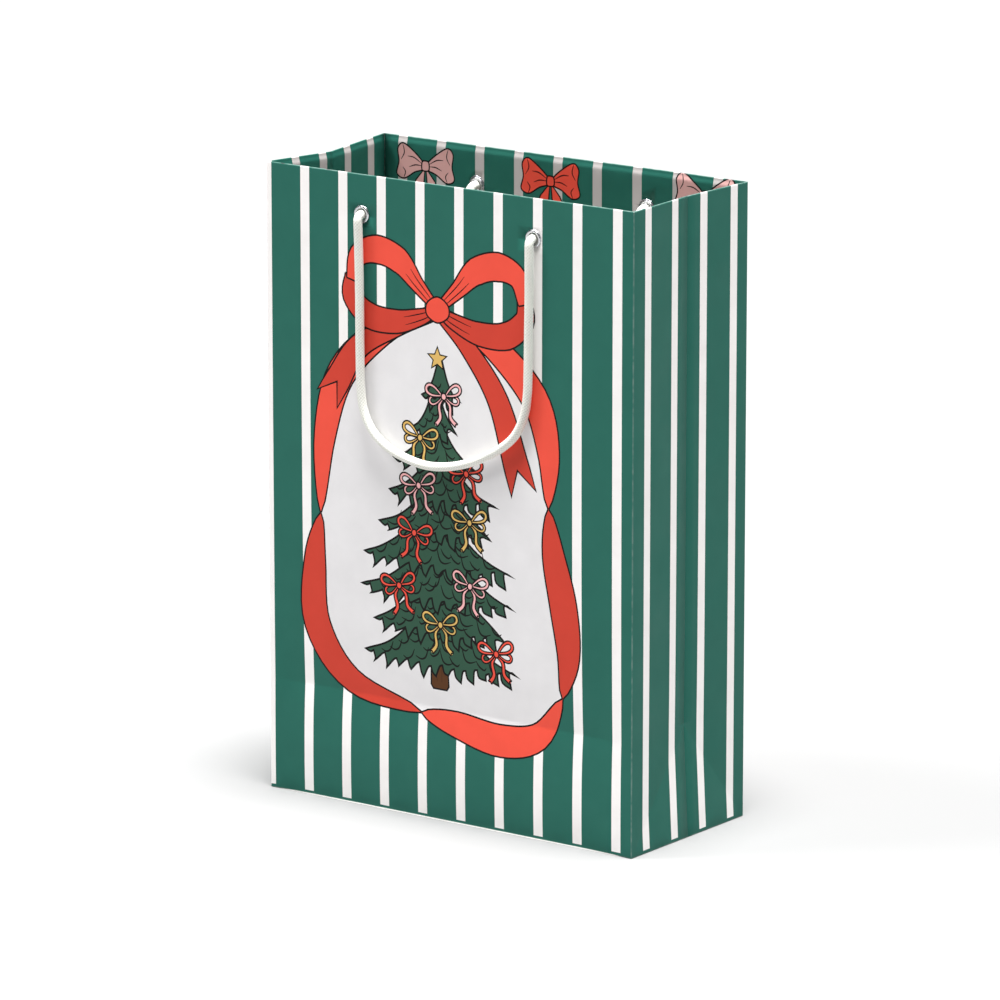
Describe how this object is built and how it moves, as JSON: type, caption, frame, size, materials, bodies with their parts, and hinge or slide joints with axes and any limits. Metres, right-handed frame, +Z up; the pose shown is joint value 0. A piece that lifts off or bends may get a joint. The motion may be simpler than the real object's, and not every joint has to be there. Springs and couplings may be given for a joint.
{
  "type": "gift bag",
  "caption": "Tall rectangular paper gift bag with tucked side gussets, folded base, turned-in top hem, metal eyelets and soft rope handles.",
  "frame": {"origin": "middle of the base, on the surface the bag stands on", "axes": "+Z up, +X along the wide front panel, -Y out of the front panel"},
  "size_m": [0.229, 0.1108, 0.33],
  "materials": {
    "printed_paper": "satin",
    "printed_hem": "satin",
    "stiffener_card": "matte",
    "base_card": "matte",
    "eyelet_metal": "polished",
    "rope": "matte"
  },
  "bodies": {
    "root": {"back_panel": "printed_paper", "back_top_hem": "printed_hem", "back_stiffener_card": "stiffener_card", "side_seam_flap": "printed_paper", "base_flap_front": "printed_paper", "base_flap_back": "printed_paper", "base_flap_left": "printed_paper", "base_flap_right": "printed_paper", "base_card": "base_card", "back_eyelet_left": "eyelet_metal", "back_eyelet_washer_left": "eyelet_metal", "back_rope_left_tail": "rope", "back_rope_left_knot": "rope", "back_rope_left_tip": "rope", "back_eyelet_right": "eyelet_metal", "back_eyelet_washer_right": "eyelet_metal", "back_rope_right_tail": "rope", "back_rope_right_knot": "rope", "back_rope_right_tip": "rope"},
    "front": {"front_panel": "printed_paper", "front_top_hem": "printed_hem", "front_stiffener_card": "stiffener_card", "front_eyelet_left": "eyelet_metal", "front_eyelet_washer_left": "eyelet_metal", "front_rope_left_tail": "rope", "front_rope_left_knot": "rope", "front_rope_left_tip": "rope", "front_eyelet_right": "eyelet_metal", "front_eyelet_washer_right": "eyelet_metal", "front_rope_right_tail": "rope", "front_rope_right_knot": "rope", "front_rope_right_tip": "rope"},
    "front_handle": {"front_handle_rope": "rope"},
    "back_handle": {"back_handle_rope": "rope"},
    "left_gusset_front": {"left_gusset_front_half": "printed_paper", "left_gusset_front_hem": "printed_hem"},
    "left_gusset_back": {"left_gusset_back_half": "printed_paper", "left_gusset_back_hem": "printed_hem"},
    "right_gusset_front": {"right_gusset_front_half": "printed_paper", "right_gusset_front_hem": "printed_hem"},
    "right_gusset_back": {"right_gusset_back_half": "printed_paper", "right_gusset_back_hem": "printed_hem"}
  },
  "joints": [
    {"name": "fold_flat", "type": "hinge", "parent": "root", "child": "left_gusset_back", "pos_m": [-0.114, 0.04885, 0], "axis": [0, 0, 1], "range_deg": [0, 70]},
    {"name": "left_gusset_crease", "type": "hinge", "parent": "left_gusset_back", "child": "left_gusset_front", "pos_m": [-0.112, 0, 0], "axis": [0, 0, 1], "range_deg": [-140, 0]},
    {"name": "left_front_corner", "type": "hinge", "parent": "left_gusset_front", "child": "front", "pos_m": [-0.114, -0.04885, 0], "axis": [0, 0, 1], "range_deg": [0, 70]},
    {"name": "right_back_corner", "type": "hinge", "parent": "root", "child": "right_gusset_back", "pos_m": [0.114, 0.04885, 0], "axis": [0, 0, 1], "range_deg": [-70, 0]},
    {"name": "right_gusset_crease", "type": "hinge", "parent": "right_gusset_back", "child": "right_gusset_front", "pos_m": [0.112, 0, 0], "axis": [0, 0, 1], "range_deg": [0, 140]},
    {"name": "front_handle_swing", "type": "hinge", "parent": "front", "child": "front_handle", "pos_m": [0, -0.0531, 0.3095], "axis": [-1, 0, 0], "range_deg": [0, 178]},
    {"name": "back_handle_swing", "type": "hinge", "parent": "root", "child": "back_handle", "pos_m": [0, 0.0531, 0.3095], "axis": [1, 0, 0], "range_deg": [0, 178]}
  ],
  "couplings": [
    {"joint": "left_gusset_crease", "follows": "fold_flat", "ratio": -2},
    {"joint": "left_front_corner", "follows": "fold_flat", "ratio": 1},
    {"joint": "right_back_corner", "follows": "fold_flat", "ratio": -1},
    {"joint": "right_gusset_crease", "follows": "fold_flat", "ratio": 2}
  ]
}
